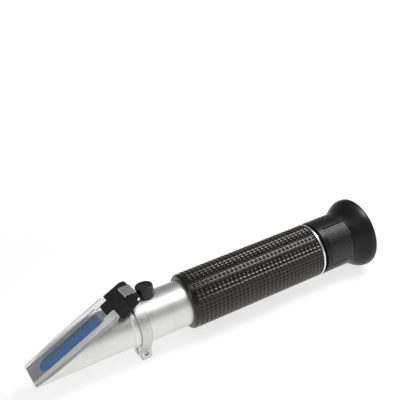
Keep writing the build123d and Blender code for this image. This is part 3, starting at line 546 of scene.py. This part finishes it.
# %% [markdown]
# The sleeve of the grip carries 44 rows of 31 low studs. Each is a small pyramid with a worn top,
# and narrow grooves part them. The whole sleeve is one closed surface of two parameters: a point
# runs along the profile from the bore over the front collar, the studs and the tail back to the
# bore, while the other parameter runs once round the axis. The height of a stud is the lower of
# two slopes, one along and one across, which gives the pyramid's four faces and its sharp corners.
# %% Where the studs are
axis_level = sum(corner.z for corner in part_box("barrel")) / 2
grip_low, grip_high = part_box("rubber_grip")
grip_top = grip_high.z - axis_level
sleeve_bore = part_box("barrel")[1].z - axis_level
stud_columns, stud_rows = 31, 44
stud_height = 0.31 * MM
collar_length, tail_length = 2.55 * MM, 0.45 * MM
groove_share = 0.13                          # of one pitch, between two studs
# place inside one pitch, and the share of the stud's height there
stud_steps = np.array([0.0, groove_share, 0.32, 0.545, 0.585, 0.81])
stud_rise = np.array([0.0, 0.0, 0.62, 1.0, 1.0, 0.62])

pitch = (grip_high.x - grip_low.x - collar_length - tail_length) / stud_columns
along_steps = (np.arange(stud_columns)[:, None] + stud_steps).ravel() * pitch
along_steps = np.append(along_steps, stud_columns * pitch) + grip_low.x + collar_length
along_rise = np.append(np.tile(stud_rise, stud_columns), 0.0)
round_steps = (np.arange(stud_rows)[:, None] + stud_steps).ravel() * 2 * np.pi / stud_rows
round_rise = np.tile(stud_rise, stud_rows)
print("studs:", stud_columns * stud_rows, "one every", round(pitch / MM, 2), "mm")


# %% [markdown]
# A grid of points becomes a closed surface when both of its directions wrap round. Most of its
# quads stay whole. A quad on the corner of a stud has two faces that meet in a crease, so it is
# split along the diagonal on which the crease lies.
# %% From rings of points to a closed piece
def round_the_axis(x, radius, angle):
    """Points at x along the tube, at a radius from its axis and an angle from the top forwards.

    Across the tube lies minus the radius times the sine of the angle, and the radius times the
    cosine lies above the axis.
    """
    across, up = -radius * np.sin(angle), radius * np.cos(angle)
    return np.stack([x, across, axis_level + up], axis=-1)


def crease_kind(first_rise, second_rise):
    """How each quad is split: 0 whole, 1 along the rising diagonal, 2 along the falling one.

    The lower of two slopes has its crease where the slopes are equal. On a quad whose two sides
    climb over the same range, that is a diagonal.
    """
    next_first, next_second = np.roll(first_rise, -1), np.roll(second_rise, -1)
    climb_one, climb_two = (next_first - first_rise)[:, None], (next_second - second_rise)[None, :]
    middle_one = (next_first + first_rise)[:, None]
    middle_two = (next_second + second_rise)[None, :]
    same_range = np.isclose(middle_one, middle_two) & np.isclose(abs(climb_one), abs(climb_two))
    sloping = same_range & (abs(climb_one) > 0)
    return np.where(sloping, np.where(climb_one * climb_two > 0, 1, 2), 0)


def closed_skin(name, rings, crease, finish, sharp_from):
    """One closed mesh from rings of points.

    rings has the shape (along, round, 3); both parameters wrap, so the last ring joins the first.
    crease says how each quad is split. Edges whose faces turn by more than sharp_from degrees stay
    sharp.
    """
    along, around = rings.shape[:2]
    a = np.arange(along * around).reshape(along, around)
    b = np.roll(a, -1, axis=1)
    c = np.roll(b, -1, axis=0)
    d = np.roll(a, -1, axis=0)
    quads = np.stack([a, b, c, d], axis=-1)
    rising, falling = quads[crease == 1], quads[crease == 2]
    triangles = np.concatenate([rising[:, [0, 1, 2]], rising[:, [0, 2, 3]],
                                falling[:, [0, 1, 3]], falling[:, [1, 2, 3]]])
    sides = quads[crease == 0].tolist() + triangles.tolist()
    mesh = bpy.data.meshes.new(name)
    mesh.from_pydata(rings.reshape(-1, 3).tolist(), [], sides)
    mesh.validate()
    mesh.shade_smooth()
    mesh.set_sharp_from_angle(angle=math.radians(sharp_from))
    mesh.materials.append(finish)
    piece = bpy.data.objects.new(name, mesh)
    bpy.context.scene.collection.objects.link(piece)
    return piece


print("the axis of the tube is", round(axis_level / MM, 3), "mm above the floor")

# %% [markdown]
# The profile of the sleeve starts at the rear end of the bore, runs forwards inside, turns over the
# rounded collar, drops into the first groove, follows the studs and closes round the tail. Each
# point has a radius, and the studs are added to it.
# %% Studded sleeve
collar_round, tail_round = 1.25 * MM, 0.3 * MM
collar_drop = 0.10 * MM                      # of the collar below the tops of the studs
collar_edge, groove_edge = 0.30 * MM, 0.10 * MM   # before the first stud
tail_edge = 0.05 * MM                        # behind the last groove
sleeve_sharp = 19                            # degrees


def corner_arc(x, radius, size, start, end, points=6):
    """A turn of the profile about (x, radius), in degrees: 0 points rearwards and 90 outwards.

    Each point is the middle plus the size times the cosine along and times the sine outwards.
    """
    turn = np.radians(np.linspace(start, end, points))
    return np.column_stack([x + size * np.cos(turn), radius + size * np.sin(turn)])


stud_floor = grip_top - stud_height
collar_radius = grip_top - collar_drop
front = np.concatenate([
    np.array([[grip_high.x, sleeve_bore], [grip_low.x, sleeve_bore]]),
    corner_arc(grip_low.x + collar_round, collar_radius - collar_round, collar_round, 180, 90),
    np.array([[along_steps[0] - collar_edge, collar_radius],
              [along_steps[0] - groove_edge, stud_floor]]),
])
rear = np.concatenate([
    np.array([[along_steps[-1] + tail_edge, collar_radius - tail_edge]]),
    corner_arc(grip_high.x - tail_round, collar_radius - tail_round, tail_round, 90, 0, points=4),
])
sleeve_x = np.concatenate([front[:, 0], along_steps, rear[:, 0]])
sleeve_base = np.concatenate([front[:, 1], np.full(len(along_steps), stud_floor), rear[:, 1]])
sleeve_rise = np.concatenate([np.zeros(len(front)), along_rise, np.zeros(len(rear))])
studs = stud_height * np.minimum(sleeve_rise[:, None], round_rise[None, :])
sleeve_rings = round_the_axis(np.broadcast_to(sleeve_x[:, None], studs.shape),
                              sleeve_base[:, None] + studs, round_steps[None, :])
sleeve_crease = crease_kind(sleeve_rise, round_rise)
sleeve = closed_skin("studded_sleeve", sleeve_rings, sleeve_crease, grip_rubber, sleeve_sharp)
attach(sleeve, "body")
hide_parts("rubber_grip")
print("studded sleeve:", len(sleeve.data.polygons), "faces")

# %% [markdown]
# The eyecup is moulded in one piece: a neck that the fingers turn, a flare, and a soft lip for the
# eye. Two panels of fine pips are sunk into the neck, one on each side, and each ends in a step
# where the flare begins. The same two parameters make it, with the pips only inside the panels.
# First comes its profile.
# %% Eyecup profile
cup_low, cup_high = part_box("eyecup")
cup_front = cup_low.x
neck_radius = grip_top + 0.05 * MM           # a little prouder than the grip
rim_radius = cup_high.z - axis_level
neck_end = cup_front + 14.25 * MM
flare_end = neck_end + 9.2 * MM
neck_round, lip_round = 0.4 * MM, 0.9 * MM
panel_start, panel_end = cup_front + 2.5 * MM, cup_front + 14.95 * MM
pip_columns = 12
# place inside one pitch, and the share of the pip's height there
pip_steps = np.array([0.0, 0.34, 0.64, 0.70])
pip_rise = np.array([0.0, 0.0, 1.0, 1.0])
# the hollow side from the lip inwards: millimetres behind the cup's front, and radius
hollow = np.array([(18.55, 10.18), (17.45, 9.34), (14.45, 8.84), (14.45, 7.45), (11.05, 7.45),
                   (11.05, 11.0), (0.0, 11.0)]) * MM + np.array([cup_front, 0.0])


def flared(x):
    """Radius of the smooth eyecup at x: the neck, then half a cosine wave up to the rim."""
    share = np.clip((x - neck_end) / (flare_end - neck_end), 0, 1)
    return neck_radius + (rim_radius - neck_radius) * (1 - np.cos(np.pi * share)) / 2


pip_pitch = (panel_end - panel_start) / pip_columns
pips_x = panel_start + (np.arange(pip_columns)[:, None] + pip_steps).ravel() * pip_pitch
pips_x = np.append(pips_x, panel_end)
pips_rise = np.append(np.tile(pip_rise, pip_columns), 0.0)
before_x = np.array([0.45, 1.1, 1.7, 2.4]) * MM + cup_front
after_x = np.linspace(panel_end + 0.05 * MM, cup_high.x - lip_round, 22)
neck_edge = corner_arc(cup_front + neck_round, neck_radius - neck_round, neck_round, 180, 100,
                       points=4)
lip = corner_arc(cup_high.x - lip_round, rim_radius - lip_round, lip_round, 80, -90, points=10)
plain_x = np.concatenate([neck_edge[:, 0], before_x])
plain_radius = np.concatenate([neck_edge[:, 1], flared(before_x)])
cup_x = np.concatenate([plain_x, pips_x, after_x, lip[:, 0], hollow[:, 0]])
smooth_radius = np.concatenate([plain_radius, flared(pips_x), flared(after_x), lip[:, 1],
                                hollow[:, 1]])
print("eyecup profile:", len(cup_x), "points, a pip every", round(pip_pitch / MM, 2), "mm")

# %% [markdown]
# Round the axis each half of the eyecup has one panel and one smooth stretch. The steps are close
# together in the panel and wide apart elsewhere, because a smooth wall needs few of them.
# %% Eyecup steps round the axis
pip_rows = 20
panel_angles = (27.0, 207.0)                 # where each panel starts, in degrees from the top
panel_turn, edge_turn = 89.0, 0.35           # degrees of a panel, and of the wall at its side
smooth_count = 26
nearly = 1e-9
pip_turn = panel_turn / pip_rows
panel_columns = np.append((np.arange(pip_rows)[:, None] + pip_steps).ravel() * pip_turn, panel_turn)
smooth_turn = 180.0 - panel_turn - 2 * edge_turn
smooth_columns = panel_turn + edge_turn + np.linspace(0, smooth_turn, smooth_count)
half_turn = np.concatenate([panel_columns, smooth_columns])
half_rise = np.concatenate([np.tile(pip_rise, pip_rows), np.zeros(1 + smooth_count)])
cup_angles = np.radians(np.concatenate([half_turn + start for start in panel_angles]))
angle_rise = np.tile(half_rise, 2)
columns_in_panel = np.tile(half_turn <= panel_turn + nearly, 2)
print("eyecup steps round the axis:", len(cup_angles))

# %% [markdown]
# The panel is the neck, sunk a little, plus the pips. As on the grip, the height of a pip is the
# lower of two slopes. Everywhere else the surface is the smooth profile.
# %% Eyecup surface
panel_sink, pip_height = 0.12 * MM, 0.26 * MM
cup_sharp = 50                               # degrees
first_pip, behind_pips = len(plain_x), len(plain_x) + len(pips_x)
rings_in_panel = np.zeros(len(cup_x), dtype=bool)
rings_in_panel[first_pip:behind_pips] = True
cup_rise = np.zeros(len(cup_x))
cup_rise[first_pip:behind_pips] = pips_rise

sunk = rings_in_panel[:, None] & columns_in_panel[None, :]
pips = pip_height * np.minimum(cup_rise[:, None], angle_rise[None, :])
cup_radius = np.where(sunk, neck_radius - panel_sink + pips, smooth_radius[:, None])
cup_rings = round_the_axis(np.broadcast_to(cup_x[:, None], cup_radius.shape), cup_radius,
                           cup_angles[None, :])
cup_crease = crease_kind(cup_rise, angle_rise) * sunk
cup = closed_skin("soft_eyecup", cup_rings, cup_crease, cup_rubber, cup_sharp)
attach(cup, "eyecup")
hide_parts("eyecup")
print("eyecup:", len(cup.data.polygons), "faces,", 2 * pip_columns * pip_rows, "pips")

# %% [markdown]
# The pips have their own finish. A face belongs to a panel when it lies on the outside, between the
# panel's ends and within its turn round the axis.
# %% Finish of the pips
wall_share = 1.0 * MM                        # faces nearer to the outside than this count
middles = np.empty(len(cup.data.polygons) * 3)
cup.data.polygons.foreach_get("center", middles)
middle_x, middle_y, middle_z = middles.reshape(-1, 3).T
middle_up = middle_z - axis_level
turn_there = np.degrees(np.arctan2(-middle_y, middle_up)) % 180 - panel_angles[0]
faces_in_panel = (turn_there > 0) & (turn_there < panel_turn)
faces_in_panel &= (middle_x > panel_start) & (middle_x < panel_end)
faces_in_panel &= np.hypot(middle_y, middle_up) > neck_radius - wall_share
cup.data.materials.append(pip_rubber)
cup.data.polygons.foreach_set("material_index", faces_in_panel.astype(np.int32))
print("faces with pips:", int(faces_in_panel.sum()))
